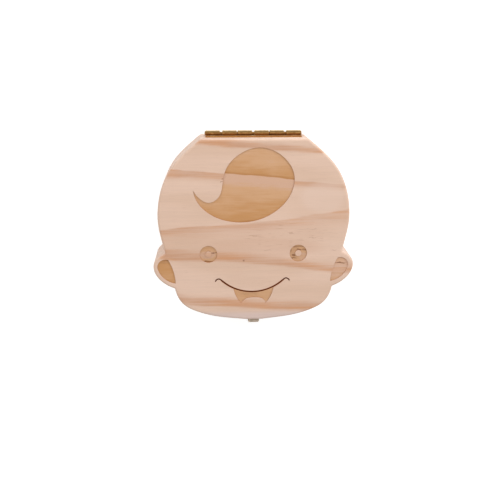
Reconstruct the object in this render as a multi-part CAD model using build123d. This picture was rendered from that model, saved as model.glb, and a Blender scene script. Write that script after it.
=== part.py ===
from build123d import *
import os
from math import acos, cos, degrees, pi, radians, sin, sqrt

# A keepsake box for milk teeth: two pine boards cut to the outline of a baby's head, hinged at the
# crown and latched at the chin. +X runs from ear to ear, +Y towards the hinge, +Z up through the lid.
# The origin is the centre of the flat underside. All sizes are in millimetres.

# Outline of the head
head_length = 114.8
head_width = 117.2
ear_span = 125.0
ear_height = 23.5
hinge_wall_width = 64.0
chin_flat_width = 10.0
crown_corner_radius = 2.5
ear_notch_radius = 1.0
temple_shares = [
    (0.718, 0.851), (0.850, 0.702), (0.945, 0.511), (0.994, 0.300), (0.999, 0.096), (0.976, -0.045),
]
notch_x_share = 0.940
notch_y_share = -0.212
ear_shares = [(0.44, 0.085), (0.85, 0.215), (1.0, 0.38), (0.89, 0.56), (0.44, 0.77)]
jaw_start_share = -0.73
jaw_shares = [(0.823, -0.712), (0.768, -0.802), (0.626, -0.893), (0.410, -0.958)]

# Boards
board_thickness = 14.9
seam_gap = 0.2
outer_round = 1.5
seam_ease = 0.4
overrun = 1.0
pick_reach = 0.1

# Wells in the base, and the two that the lid repeats
teeth_per_jaw = 10
tooth_well_radius = 4.8
tooth_well_depth = 9.0
arch_half_width = 45.5
arch_half_length = 42.5
arch_end_angle = 15.0
keepsake_well_radius = 13.0
keepsake_well_depth = 10.5
keepsake_lid_depth = 8.0
keepsake_divider = 5.0
well_ease = 0.4

# Engraving on the lid
engraving_depth = 0.4
face_shift = -0.4
smile_shift = -1.05
eye_spacing = 55.8
eye_height = -13.15
eye_radius = 5.4
pupil_radius = 1.95

curl_width = 60.7
curl_length = 45.4
curl_centre_x = -6.5
curl_centre_y = 29.4
curl_tip_shares = (-1.0, -0.10)
curl_bite_shares = [(-0.430, -0.060), (-0.500, -0.300), (-0.695, -0.443), (-0.880, -0.322)]
curl_edge_shares = [
    (-0.883, -0.502), (-0.604, -0.815), (-0.213, -0.977), (0.229, -0.949), (0.635, -0.702),
    (0.940, -0.233), (1.005, 0.259), (0.794, 0.751), (0.314, 1.009), (-0.120, 0.803), (-0.365, 0.390),
]

smile_width = 38.9
smile_drop = 7.9
smile_height = -30.3
smile_line_width = 0.8
smile_depth = 0.9
smile_hook_reach = 3.7
smile_hook_rise = 0.85
smile_hook_drop = 0.55
hook_peak_share = 0.42

mouth_top_width = 25.5
mouth_bottom_width = 15.3
mouth_bottom_height = -46.0
mouth_side_bulge = 0.25
tongue_rise = 4.0
tongue_shares = [(-0.66, 0.76), (0.10, 1.0), (0.74, 0.78)]

ear_hollow_top_shares = (-0.32, 0.185)
ear_hollow_face_shares = (-0.71, 0.485)
ear_hollow_bottom_shares = (-0.875, 0.84)
ear_hollow_rim_shares = (0.09, 0.69)
ear_hollow_tip_shares = (0.60, 0.41)
ear_hollow_crest_shares = (0.36, 0.22)

# Hinge
hinge_length = 58.0
knuckle_count = 6
knuckle_gap = 0.45
knuckle_play = 1.0
knuckle_round = 0.25
knuckle_slit = 0.15
barrel_standoff = 0.05
leaf_thickness = 0.8
leaf_flat = 5.5
leaf_clearance = 0.45
leaf_corner_radius = 0.8
hinge_pin_radius = 0.85
running_clearance = 0.05
pin_head_radius = 1.35
pin_head_length = 0.45
pin_head_round = 0.3

# Wood screws of the hinge
screw_inset = 4.4
screws_per_leaf = 3
screw_head_radius = 1.7
screw_shank_radius = 0.9
screw_length = 8.0
screw_tip_length = 2.4
screw_tip_radius = 0.2
screw_seat_clearance = 0.05
recess_width = 0.5
recess_length = 2.2
recess_depth = 0.55

# Latch
latch_width = 6.5
latch_sheet = 0.8
flap_sheet = 0.7
latch_axis_drop = 5.5
latch_knuckle_radius = 1.5
latch_play = 0.1
latch_pin_radius = 0.55
latch_pin_head_radius = 0.85
latch_pin_head_length = 0.35
lug_thickness = 1.1
plate_above_axis = 2.2
plate_below_axis = 8.3
plate_corner_radius = 0.8
flap_shoulder = 1.9
flap_length = 17.6
flap_lip_radius = 0.75
flap_corner_radius = 1.6
flap_rest_angle = 7.5
heel_radius = 1.88

# Catch
catch_plate_length = 7.6
catch_top_drop = 1.9
nose_drop = 5.3
nose_width = 2.4
nose_height = 1.4
nose_reach = 3.0
nose_barb = 0.3
nose_barb_length = 0.7
slot_side_play = 0.3
slot_end_play = 0.65

# Brass pins that hold the latch
nail_radius = 0.6
nail_length = 6.0
nail_tip_length = 1.2
nail_head_radius = 1.0
nail_head_height = 0.35
nail_fit = 0.02
nail_inset = 1.3
nail_pitch = 3.7

# Levels and places that follow from the sizes above
base_top = board_thickness
lid_bottom = base_top + seam_gap
lid_top = lid_bottom + board_thickness
hinge_wall = head_length / 2
chin_wall = -head_length / 2
half_width = head_width / 2
half_length = head_length / 2
barrel_radius = hinge_pin_radius + running_clearance + leaf_thickness
hinge_axis_y = hinge_wall + barrel_standoff + barrel_radius
hinge_axis_z = base_top + seam_gap / 2
notch_x = notch_x_share * half_width
notch_y = notch_y_share * half_length
ear_reach = ear_span / 2 - notch_x
latch_axis_offset = latch_sheet + latch_play + latch_knuckle_radius
latch_axis_y = chin_wall - latch_axis_offset
latch_axis_z = lid_top - latch_axis_drop
flap_inner = latch_sheet + nail_head_height + latch_play
nose_z = base_top - nose_drop
catch_top = base_top - catch_top_drop


def ear_point(shares):
    """A point of the right ear, from the notch (0, 0) out to the ear's reach and down its height."""
    out, down = shares
    return (notch_x + out * ear_reach, notch_y - down * ear_height)


def head_point(shares):
    """A point of the right half of the head, in shares of its half width and half length."""
    across, along = shares
    return (across * half_width, along * half_length)


def curl_point(shares):
    """A point of the curl, in shares of its half width and half length from its centre."""
    across, along = shares
    return (curl_centre_x + across * curl_width / 2, curl_centre_y + along * curl_length / 2)


# Flat outline, the same for both boards
def head_outline():
    crown = (hinge_wall_width / 2, hinge_wall)
    notch = (notch_x, notch_y)
    jaw_start = ear_point((jaw_start_share, 1))
    chin_end = (chin_flat_width / 2, chin_wall)
    with BuildSketch() as outline:
        with BuildLine():
            Line((0, hinge_wall), crown)
            Spline(crown, *[head_point(shares) for shares in temple_shares], notch)
            Spline(notch, *[ear_point(shares) for shares in ear_shares], jaw_start)
            jaw = [head_point(shares) for shares in jaw_shares]
            Spline(jaw_start, *jaw, chin_end)
            Line(chin_end, (0, chin_wall))
            Line((0, chin_wall), (0, hinge_wall))
        make_face()
        mirror(about=Plane.YZ)
        corners = outline.vertices()
        crown_corners = corners.filter_by(lambda v: abs(v.Y - hinge_wall) < pick_reach)
        fillet(crown_corners.filter_by(lambda v: abs(v.X) > pick_reach), crown_corner_radius)
        notches = outline.vertices().filter_by(
            lambda v: abs(abs(v.X) - notch_x) < pick_reach and abs(v.Y - notch_y) < pick_reach
        )
        fillet(notches, ear_notch_radius)
        jaws = outline.vertices().filter_by(
            lambda v: abs(abs(v.X) - jaw_start[0]) < pick_reach and abs(v.Y - jaw_start[1]) < pick_reach
        )
        fillet(jaws, ear_notch_radius)
    return outline.sketch


# Sheets stood on edge: a profile in Y and Z, drawn out along X about the middle
def drawn_along_x(profile, length, middle=0):
    return Pos(middle - length / 2, 0, 0) * extrude(Plane.YZ * profile, amount=length)


def block(low, high):
    """A box from its lowest to its highest corner."""
    sizes = [b - a for a, b in zip(low, high)]
    return Pos(*low) * Box(*sizes, align=(Align.MIN, Align.MIN, Align.MIN))


# Pieces turned about an axis that points out of a wall: heading is +1 towards +Y, -1 towards -Y
def turned(points, place, heading):
    with BuildSketch(Plane.XY) as half:
        Polygon(*points, align=None)
    solid = revolve(half.sketch, axis=Axis.Y)
    if heading < 0:
        solid = Rot(0, 0, degrees(pi)) * solid
    return Pos(*place) * solid


def well(radius, depth, mouth_z, x, y, opens_up=True):
    """The space of one well with its eased rim, standing past the board's face by the overrun."""
    bore = Cylinder(radius, depth + overrun, align=(Align.CENTER, Align.CENTER, Align.MIN))
    rim = Cone(radius, radius + well_ease, well_ease, align=(Align.CENTER, Align.CENTER, Align.MAX))
    tool = Pos(0, 0, -depth) * bore + rim
    if not opens_up:
        tool = Rot(degrees(pi), 0, 0) * tool
    return Pos(x, y, mouth_z) * tool


def tooth_places():
    """Centres of the tooth wells: the upper jaw from left to right, then the lower from right to left."""
    sweep = degrees(pi) - 2 * arch_end_angle
    step = sweep / (teeth_per_jaw - 1)
    places = []
    for jaw in (0, 1):
        for tooth in range(teeth_per_jaw):
            angle = radians(degrees(pi) - arch_end_angle - tooth * step - jaw * degrees(pi))
            places.append((arch_half_width * cos(angle), arch_half_length * sin(angle)))
    return places


def keepsake_places():
    offset = keepsake_well_radius + keepsake_divider / 2
    return [(-offset, 0), (offset, 0)]


def screw_places():
    first = -hinge_length / 2 + screw_inset
    spacing = (hinge_length - 2 * screw_inset) / (screws_per_leaf - 1)
    return [first + n * spacing for n in range(screws_per_leaf)]


def screw_level(side):
    """Height of a leaf's screws: side is +1 on the lid and -1 on the base."""
    return hinge_axis_z + side * (barrel_radius + leaf_flat / 2)


# Hinge screws and the holes that take them
def countersunk_profile(grow):
    head = screw_head_radius + grow
    shank = screw_shank_radius + grow
    top = leaf_thickness
    neck = top - (screw_head_radius - screw_shank_radius)
    tip = top - screw_length - grow
    taper = tip + screw_tip_length
    return [(0, tip), (screw_tip_radius + grow, tip), (shank, taper), (shank, neck), (head, top), (0, top)]


def screw_cutter(x, side):
    """The countersunk hole of one screw, run out past the leaf's face."""
    place = (x, hinge_wall, screw_level(side))
    hole = turned(countersunk_profile(screw_seat_clearance), place, 1)
    mouth = screw_head_radius + screw_seat_clearance
    run_out = [(0, leaf_thickness), (mouth, leaf_thickness), (mouth, leaf_thickness + overrun),
               (0, leaf_thickness + overrun)]
    return hole + turned(run_out, place, 1)


def hinge_screws(side):
    screws = []
    for x in screw_places():
        screw = turned(countersunk_profile(0), (x, hinge_wall, screw_level(side)), 1)
        face = hinge_wall + leaf_thickness
        for length, height in ((recess_length, recess_width), (recess_width, recess_length)):
            low = (x - length / 2, face - recess_depth, screw_level(side) - height / 2)
            high = (x + length / 2, face + overrun, screw_level(side) + height / 2)
            screw -= block(low, high)
        screws.append(screw)
    return Compound(children=[solid for screw in screws for solid in screw.solids()])


# Hinge leaves with their knuckles: the base has the first, third and fifth from the left. The gap to the
# right of each of those is wider by the play than the other gaps.
def knuckle_width():
    gaps = knuckle_gap * (knuckle_count - 1) + knuckle_play * knuckle_count / 2
    return (hinge_length - gaps) / knuckle_count


def knuckle_middles(first):
    width = knuckle_width()
    start = -hinge_length / 2 + width / 2 + first * (width + knuckle_gap + knuckle_play)
    pitch = 2 * (width + knuckle_gap) + knuckle_play
    return [start + n * pitch for n in range(knuckle_count // 2)]


def knuckle(x, side):
    """One knuckle, rolled from the leaf's own sheet, whose end stops a slit away from the leaf's face."""
    width = knuckle_width()
    low_x, high_x = x - width / 2, x + width / 2
    face = hinge_wall + leaf_thickness
    tube = Pos(x, hinge_axis_y, hinge_axis_z) * Rot(0, degrees(pi / 2), 0) * Cylinder(barrel_radius, width)
    tube = fillet(tube.edges().filter_by(GeomType.CIRCLE), knuckle_round)
    top = hinge_axis_z + side * (barrel_radius + overrun)
    low_z, high_z = sorted((hinge_axis_z, top))
    tube -= block((low_x, face, low_z), (high_x, face + knuckle_slit, high_z))
    web_end = hinge_axis_z + side * (barrel_radius + leaf_clearance + leaf_flat / 2)
    low_z, high_z = sorted((hinge_axis_z, web_end))
    return tube + block((low_x, hinge_wall, low_z), (high_x, face, high_z))


def hinge_leaf(side, first_knuckle):
    outer_edge = hinge_axis_z + side * (barrel_radius + leaf_flat)
    inner_edge = hinge_axis_z + side * (barrel_radius + leaf_clearance)
    low_z, high_z = sorted((outer_edge, inner_edge))
    face = hinge_wall + leaf_thickness
    leaf = block((-hinge_length / 2, hinge_wall, low_z), (hinge_length / 2, face, high_z))
    corners = leaf.edges().filter_by(Axis.Y).filter_by(lambda e: abs(e.center().Z - outer_edge) < pick_reach)
    leaf = fillet(corners, leaf_corner_radius)
    for x in knuckle_middles(first_knuckle):
        leaf += knuckle(x, side)
    bore = Plane.YZ * Pos(hinge_axis_y, hinge_axis_z) * Circle(hinge_pin_radius + running_clearance)
    leaf -= Pos(-hinge_length / 2 - overrun, 0, 0) * extrude(bore, amount=hinge_length + 2 * overrun)
    for x in screw_places():
        leaf -= screw_cutter(x, side)
    return leaf


def axle(axis_y, axis_z, radius, length, head_radius, head_length, head_round):
    """A headed pin along X about the middle of the box, its heads standing off what it carries."""
    shank = Pos(0, axis_y, axis_z) * Rot(0, degrees(pi / 2), 0) * Cylinder(radius, length)
    for end in (-1, 1):
        head = Pos(end * (length + head_length) / 2, axis_y, axis_z)
        head *= Rot(0, degrees(pi / 2), 0) * Cylinder(head_radius, head_length)
        rim = head.edges().filter_by(GeomType.CIRCLE).sort_by(Axis.X)[0 if end < 0 else -1]
        shank += fillet(rim, head_round)
    return shank


def hinge_pin():
    length = hinge_length + 2 * running_clearance
    return axle(hinge_axis_y, hinge_axis_z, hinge_pin_radius, length, pin_head_radius,
                pin_head_length, pin_head_round)


# Latch: the plate on the lid carries the flap between two lugs
def latch_plate():
    low_z = latch_axis_z - plate_below_axis
    high_z = latch_axis_z + plate_above_axis
    plate = block((-latch_width / 2, chin_wall - latch_sheet, low_z), (latch_width / 2, chin_wall, high_z))
    plate = fillet(plate.edges().filter_by(Axis.Y), plate_corner_radius)
    lug = Pos(latch_axis_y, latch_axis_z) * Circle(latch_knuckle_radius)
    web = Rectangle(latch_axis_offset, 2 * latch_knuckle_radius, align=(Align.MIN, Align.CENTER))
    lug += Pos(latch_axis_y, latch_axis_z) * web
    for end in (-1, 1):
        plate += drawn_along_x(lug, lug_thickness, end * (latch_width - lug_thickness) / 2)
    bore = Pos(latch_axis_y, latch_axis_z) * Circle(latch_pin_radius + running_clearance)
    plate -= drawn_along_x(bore, latch_width + 2 * overrun)
    for place in latch_plate_nail_places():
        plate -= nail_hole(place)
    return plate


def latch_plate_nail_places():
    lowest = latch_axis_z - plate_below_axis + nail_inset
    return [(0, chin_wall - latch_sheet, lowest + n * nail_pitch) for n in (0, 1)]


def catch_nail_places():
    low_z = catch_top - catch_plate_length
    return [(0, chin_wall - latch_sheet, z) for z in (low_z + nail_inset, catch_top - nail_inset)]


# Pins with a low round head; a place is the point where the shank meets the plate's face
def nail_profile(grow):
    tip = -nail_length - grow
    shank = nail_radius + grow
    return [(0, tip), (shank, tip + nail_tip_length), (shank, 0), (0, 0)]


def nail_hole(place):
    run_out = [(0, 0), (nail_radius + nail_fit, 0), (nail_radius + nail_fit, overrun), (0, overrun)]
    return turned(nail_profile(nail_fit), place, -1) + turned(run_out, place, -1)


def nail_group(places):
    nails = []
    ball_radius = (nail_head_radius ** 2 + nail_head_height ** 2) / (2 * nail_head_height)
    for place in places:
        with BuildSketch(Plane.XY) as half:
            with BuildLine():
                Line((0, 0), (nail_head_radius, 0))
                RadiusArc((nail_head_radius, 0), (0, nail_head_height), -ball_radius)
                Line((0, nail_head_height), (0, 0))
            make_face()
        dome = Pos(*place) * Rot(0, 0, degrees(pi)) * revolve(half.sketch, axis=Axis.Y)
        nails.append(turned(nail_profile(0), place, -1) + dome)
    return Compound(children=[solid for nail in nails for solid in nail.solids()])


# The flap is drawn hanging straight down on its plate, then swung out to where it rests on the nose
def flap_heel():
    """A squared corner on the knuckle that meets the plate when the flap is swung right up."""
    height = latch_knuckle_radius
    reach = sqrt(heel_radius ** 2 - height ** 2)
    return Polygon((0, 0), (0, height), (-reach, height), (-reach, 0), align=None)


def flap_stop_angle():
    """How far the flap swings from its plate before the heel strikes, in degrees."""
    lean = acos(latch_knuckle_radius / heel_radius)
    strike = acos((latch_play + latch_knuckle_radius) / heel_radius)
    return degrees(pi / 2 + lean - strike)


def latch_flap():
    middle = latch_width - 2 * (lug_thickness + latch_play)
    inner = latch_axis_offset - flap_inner
    outer = inner - flap_sheet
    knuckle = Circle(latch_knuckle_radius) + flap_heel()
    neck = Pos(outer, 0) * Rectangle(flap_sheet, flap_shoulder, align=(Align.MIN, Align.MAX))
    flap = drawn_along_x(knuckle + neck, middle)
    hanging = Pos(outer, -flap_shoulder) * Rectangle(
        flap_sheet, flap_length - flap_shoulder, align=(Align.MIN, Align.MAX)
    )
    sheet = drawn_along_x(hanging, latch_width)
    foot = sheet.edges().filter_by(Axis.Y).sort_by(Axis.Z)[:2]
    flap += fillet(foot, flap_corner_radius)
    lip = Pos(inner - flap_lip_radius, -flap_length) * Circle(flap_lip_radius)
    flap += drawn_along_x(lip, latch_width - 2 * flap_corner_radius)
    flap -= drawn_along_x(Circle(latch_pin_radius + running_clearance), latch_width)
    slot_width = nose_width + 2 * slot_side_play
    slot_height = nose_height + 2 * slot_end_play
    slot_z = nose_z - latch_axis_z
    low = (-slot_width / 2, -latch_axis_offset, slot_z - slot_height / 2)
    high = (slot_width / 2, latch_axis_offset, slot_z + slot_height / 2)
    flap -= block(low, high)
    swung = Rot(-flap_rest_angle, 0, 0) * flap
    return Pos(0, latch_axis_y, latch_axis_z) * swung


def latch_pin():
    length = latch_width + 2 * running_clearance
    return axle(latch_axis_y, latch_axis_z, latch_pin_radius, length, latch_pin_head_radius,
                latch_pin_head_length, latch_pin_head_length / 2)


# Catch on the base, with the nose that the flap's slot drops over
def latch_catch():
    face = chin_wall - latch_sheet
    low_z = catch_top - catch_plate_length
    plate = block((-latch_width / 2, face, low_z), (latch_width / 2, chin_wall, catch_top))
    plate = fillet(plate.edges().filter_by(Axis.Y), plate_corner_radius)
    tip = chin_wall - nose_reach
    barb = tip + nose_barb_length
    under = nose_z - nose_height / 2
    over = nose_z + nose_height / 2
    nose = Polygon(
        (chin_wall - latch_sheet / 2, over),
        (tip + nose_barb, over),
        (tip, nose_z),
        (tip, under - nose_barb),
        (barb, under),
        (chin_wall - latch_sheet / 2, under),
        align=None,
    )
    plate += drawn_along_x(nose, nose_width)
    for place in catch_nail_places():
        plate -= nail_hole(place)
    return plate


# Boards
def base_board(outline):
    board = extrude(outline, amount=board_thickness)
    board = fillet(board.faces().sort_by(Axis.Z)[0].outer_wire().edges(), outer_round)
    board = chamfer(board.faces().sort_by(Axis.Z)[-1].outer_wire().edges(), seam_ease)
    for x, y in tooth_places():
        board -= well(tooth_well_radius, tooth_well_depth, base_top, x, y)
    for x, y in keepsake_places():
        board -= well(keepsake_well_radius, keepsake_well_depth, base_top, x, y)
    for x in screw_places():
        board -= screw_cutter(x, -1)
    for place in catch_nail_places():
        board -= nail_hole(place)
    return board


def lid_board(outline):
    board = Pos(0, 0, lid_bottom) * extrude(outline, amount=board_thickness)
    board = fillet(board.faces().sort_by(Axis.Z)[-1].outer_wire().edges(), outer_round)
    board = chamfer(board.faces().sort_by(Axis.Z)[0].outer_wire().edges(), seam_ease)
    for x, y in keepsake_places():
        board -= well(keepsake_well_radius, keepsake_lid_depth, lid_bottom, x, y, opens_up=False)
    for x in screw_places():
        board -= screw_cutter(x, 1)
    for place in latch_plate_nail_places():
        board -= nail_hole(place)
    for pattern in (curl(), eyes(), mouth(), ear_hollows()):
        board -= engraved(pattern, engraving_depth)
    board -= engraved(smile(), smile_depth)
    return board


# Engraved patterns, drawn flat and sunk into the lid
def engraved(pattern, depth):
    return Pos(0, 0, lid_top - depth) * extrude(pattern, amount=depth + overrun)


def curl():
    tip = curl_point(curl_tip_shares)
    edge = [curl_point(shares) for shares in curl_edge_shares + curl_bite_shares]
    with BuildSketch() as pattern:
        with BuildLine():
            Spline(tip, *edge, tip)
        make_face()
    return pattern.sketch


def eyes():
    rings = []
    for side in (-1, 1):
        place = Pos(face_shift + side * eye_spacing / 2, eye_height)
        rings.append(place * (Circle(eye_radius) - Circle(pupil_radius)))
    return rings[0] + rings[1]


def smile_curve():
    corner = smile_width / 2
    bottom = smile_height - smile_drop
    return ThreePointArc(
        (smile_shift - corner, smile_height), (smile_shift, bottom), (smile_shift + corner, smile_height)
    )


def smile_level(x):
    """Height of the smile's middle line at x."""
    radius = ((smile_width / 2) ** 2 + smile_drop ** 2) / (2 * smile_drop)
    return smile_height - smile_drop + radius - sqrt(radius ** 2 - (x - smile_shift) ** 2)


def smile():
    pattern = trace(smile_curve(), line_width=smile_line_width)
    for side in (-1, 1):
        corner = (smile_shift + side * smile_width / 2, smile_height)
        peak = (corner[0] + side * hook_peak_share * smile_hook_reach, smile_height + smile_hook_rise)
        end = (corner[0] + side * smile_hook_reach, smile_height - smile_hook_drop)
        pattern += trace(ThreePointArc(corner, peak, end), line_width=smile_line_width)
        for x, y in (corner, end):
            pattern += Pos(x, y) * Circle(smile_line_width / 2)
    return pattern


def mouth():
    """The open mouth below the smile, down to the tongue that stands in it."""
    left_top, right_top = [
        (face_shift + side * mouth_top_width / 2, smile_level(face_shift + side * mouth_top_width / 2))
        for side in (-1, 1)
    ]
    left_foot, right_foot = [
        (face_shift + side * mouth_bottom_width / 2, mouth_bottom_height) for side in (-1, 1)
    ]
    side_x = (mouth_top_width + mouth_bottom_width) / 4 + mouth_side_bulge
    side_y = (smile_height - smile_drop + mouth_bottom_height) / 2
    tongue = [
        (face_shift + across * mouth_bottom_width / 2, mouth_bottom_height + up * tongue_rise)
        for across, up in reversed(tongue_shares)
    ]
    with BuildSketch() as pattern:
        with BuildLine():
            ThreePointArc(left_top, (smile_shift, smile_level(smile_shift)), right_top)
            ThreePointArc(right_top, (face_shift + side_x, side_y), right_foot)
            Spline(right_foot, *tongue, left_foot)
            ThreePointArc(left_foot, (face_shift - side_x, side_y), left_top)
        make_face()
    return pattern.sketch


def ear_hollows():
    top = ear_point(ear_hollow_top_shares)
    bottom = ear_point(ear_hollow_bottom_shares)
    tip = ear_point(ear_hollow_tip_shares)
    with BuildSketch() as pattern:
        with BuildLine():
            ThreePointArc(top, ear_point(ear_hollow_face_shares), bottom)
            ThreePointArc(bottom, ear_point(ear_hollow_rim_shares), tip)
            ThreePointArc(tip, ear_point(ear_hollow_crest_shares), top)
        make_face()
        mirror(about=Plane.YZ)
    return Pos(face_shift) * pattern.sketch


def main():
    outline = head_outline()
    parts = {
        "base_board": base_board(outline),
        "lid_board": lid_board(outline),
        "hinge_leaf_base": hinge_leaf(-1, 0),
        "hinge_leaf_lid": hinge_leaf(1, 1),
        "hinge_pin": hinge_pin(),
        "hinge_screws_base": hinge_screws(-1),
        "hinge_screws_lid": hinge_screws(1),
        "latch_plate": latch_plate(),
        "latch_flap": latch_flap(),
        "latch_pin": latch_pin(),
        "latch_catch": latch_catch(),
        "latch_plate_nails": nail_group(latch_plate_nail_places()),
        "latch_catch_nails": nail_group(catch_nail_places()),
    }
    os.makedirs("parts", exist_ok=True)
    for name, part in parts.items():
        export_step(part, f"parts/{name}.step")
        print(name, len(part.solids()), "solids")
    print("the flap turns", round(flap_stop_angle(), 1), "degrees from its plate before its heel strikes")


main()
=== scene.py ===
# %% [markdown]
# # A box for milk teeth, in laser-engraved pine
# The box is two pine boards cut to the outline of a baby's head, joined at the crown by a brass hinge and
# held at the chin by a small nickel latch. The solid model already has every piece at its real size, so
# this lesson gives the pieces their finish: the rings and fibres of the pine, the scorched floors of the
# engraving, tarnished brass, dull nickel and the numbers burnt beside the wells. The model comes in first
# and is never moved, because everything else is placed from it.

# %% Load the solid model
from dataclasses import dataclass
from math import cos, pi, radians, sin
import bpy
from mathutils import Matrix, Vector


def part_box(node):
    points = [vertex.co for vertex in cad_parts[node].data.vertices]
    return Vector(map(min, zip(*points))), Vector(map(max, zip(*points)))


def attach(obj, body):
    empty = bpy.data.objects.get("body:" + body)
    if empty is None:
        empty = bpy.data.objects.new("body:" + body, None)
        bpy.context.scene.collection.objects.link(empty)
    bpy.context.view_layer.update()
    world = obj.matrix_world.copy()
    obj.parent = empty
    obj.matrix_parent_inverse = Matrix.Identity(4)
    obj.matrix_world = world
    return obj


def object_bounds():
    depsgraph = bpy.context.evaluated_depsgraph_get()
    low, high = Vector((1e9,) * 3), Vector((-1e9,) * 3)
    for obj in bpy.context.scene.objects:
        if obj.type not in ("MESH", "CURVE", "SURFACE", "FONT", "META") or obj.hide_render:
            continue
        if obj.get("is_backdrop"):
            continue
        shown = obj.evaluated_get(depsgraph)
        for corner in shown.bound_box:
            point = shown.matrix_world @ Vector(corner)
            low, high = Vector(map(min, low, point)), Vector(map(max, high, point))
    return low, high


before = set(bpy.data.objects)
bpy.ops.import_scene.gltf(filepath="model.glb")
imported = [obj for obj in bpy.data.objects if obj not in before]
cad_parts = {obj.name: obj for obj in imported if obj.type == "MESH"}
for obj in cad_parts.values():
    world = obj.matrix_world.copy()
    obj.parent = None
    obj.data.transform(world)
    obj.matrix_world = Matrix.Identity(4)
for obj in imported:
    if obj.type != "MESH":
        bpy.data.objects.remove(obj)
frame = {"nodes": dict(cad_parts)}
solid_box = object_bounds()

mm = 0.001
nodes = frame["nodes"]

# %% [markdown]
# ## The camera
# The box lies with its face up and the camera hangs almost straight above it, a little towards the hinge
# and towards one ear, so that the hinge and a sliver of the wall show. A camera object could track a
# target, but a place and three small turns away from straight down say the same thing in fewer steps.

# %% Camera
camera_place = Vector((-23.7, 101.6, 397.4)) * mm
camera_turns = (radians(-16.98), radians(-3.25), radians(0.11))
camera_lens = 44.8
sensor_width = 36.0

bpy.ops.object.camera_add(location=camera_place, rotation=camera_turns)
camera = bpy.context.object
camera.data.lens = camera_lens
camera.data.sensor_width = sensor_width
bpy.context.scene.camera = camera
print("camera", round(camera_place.length, 3), "m from the origin")

# %% [markdown]
# ## Colours
# A colour is easiest to choose as it looks on a screen, with red, green and blue from 0 to 255. The
# renderer works in linear light, where the same colour has other numbers. A colour picker turns one into
# the other unseen, and in a script the standard screen curve does it in a few lines.

# %% From screen colours to linear ones
screen_white = 255.0
screen_toe, toe_slope, screen_lift, screen_power = 0.04045, 12.92, 0.055, 2.4


def paint(*screen):
    """A linear colour from its red, green and blue on the screen."""
    linear = []
    for value in screen:
        share = value / screen_white
        dark = share / toe_slope
        light = ((share + screen_lift) / (1 + screen_lift)) ** screen_power
        linear.append(dark if share <= screen_toe else light)
    return (*linear, 1.0)


print("a screen colour of 222, 190, 168 is", [round(c, 3) for c in paint(222, 190, 168)[:3]])

# %% [markdown]
# ## Building a finish
# Every finish is a network of nodes. Writing each one out by hand is slow to read, so a small class adds
# nodes and wires them: a socket is given either a plain value or another node's output. Patterns are read
# from Object coordinates, which stay with a piece when the lid swings open. Noise hovers around one half,
# so it is spread out again from a soft swing, which keeps its middle tones, or from a firm one.

# %% Node helpers
soft_swing, firm_swing = (0.2, 0.8), (0.3, 0.7)
crevice_samples = 16


class Finish:
    """A material under construction, with short ways to add nodes."""

    def __init__(self, name):
        self.material = bpy.data.materials.new(name)
        self.material.use_nodes = True
        self.tree = self.material.node_tree
        self.shader = self.tree.nodes["Principled BSDF"]
        place = self.add("ShaderNodeTexCoord")
        self.place = place.outputs["Object"]
        self.x, self.y, self.z = self.split(self.place)
        self.facing_x, self.facing_y, self.facing_z = self.split(place.outputs["Normal"])

    def add(self, kind, wires=None, **settings):
        """A new node, with a value or another node's output for each socket in wires."""
        made = self.tree.nodes.new(kind)
        for name, value in settings.items():
            setattr(made, name, value)
        for socket, value in (wires or {}).items():
            if isinstance(value, bpy.types.NodeSocket):
                self.tree.links.new(value, made.inputs[socket])
            else:
                made.inputs[socket].default_value = value
        return made

    def split(self, vector):
        """The three parts of a vector."""
        made = self.add("ShaderNodeSeparateXYZ", {0: vector})
        return made.outputs[0], made.outputs[1], made.outputs[2]

    def calc(self, operation, *values):
        """One step of arithmetic on the values."""
        return self.add("ShaderNodeMath", dict(enumerate(values)), operation=operation).outputs[0]

    def smooth(self, value, start, end, first=0.0, last=1.0):
        """Runs smoothly from first to last while the value runs from start to end."""
        wires = {0: value, 1: start, 2: end, 3: first, 4: last}
        return self.add("ShaderNodeMapRange", wires, interpolation_type="SMOOTHSTEP").outputs[0]

    def mix(self, share, first, second, blend="MIX"):
        """A colour between two, which are sockets 6 and 7 of the node."""
        wires = {0: share, 6: first, 7: second}
        return self.add("ShaderNodeMix", wires, data_type="RGBA", blend_type=blend).outputs[2]

    def mix_values(self, share, first, second):
        """A number between two, which are sockets 2 and 3 of the node."""
        return self.add("ShaderNodeMix", {0: share, 2: first, 3: second}).outputs[0]

    def noise(self, grain, detail=2.0, shift=(0.0, 0.0, 0.0)):
        """Noise whose features are about as long as grain along X, Y and Z."""
        size = (1 / grain[0], 1 / grain[1], 1 / grain[2])
        stretched = self.add("ShaderNodeMapping", {"Vector": self.place, "Location": shift, "Scale": size})
        wires = {"Vector": stretched.outputs[0], "Scale": 1.0, "Detail": detail}
        return self.add("ShaderNodeTexNoise", wires).outputs[0]

    def crevice(self, reach, own_shade=True):
        """1 in a corner that something close by shades, 0 on an open face."""
        made = self.add("ShaderNodeAmbientOcclusion", {"Distance": reach}, samples=crevice_samples,
                        only_local=own_shade)
        return self.calc("SUBTRACT", 1.0, made.outputs["AO"])

    def finish(self, colour, roughness, height=None, height_scale=0.0, **constants):
        """Wires the shader. Constants are named after its sockets, with _ for a space."""
        self.tree.links.new(colour, self.shader.inputs["Base Color"])
        self.tree.links.new(roughness, self.shader.inputs["Roughness"])
        for name, value in constants.items():
            self.shader.inputs[name.replace("_", " ")].default_value = value
        if height is not None:
            bump = self.add("ShaderNodeBump", {"Height": height, "Distance": height_scale, "Strength": 1.0})
            self.tree.links.new(bump.outputs[0], self.shader.inputs["Normal"])
        return self.material


def dress(material, *names):
    """Gives the material to every slot of the named nodes."""
    for name in names:
        for slot in nodes[name].material_slots:
            slot.material = material


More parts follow.
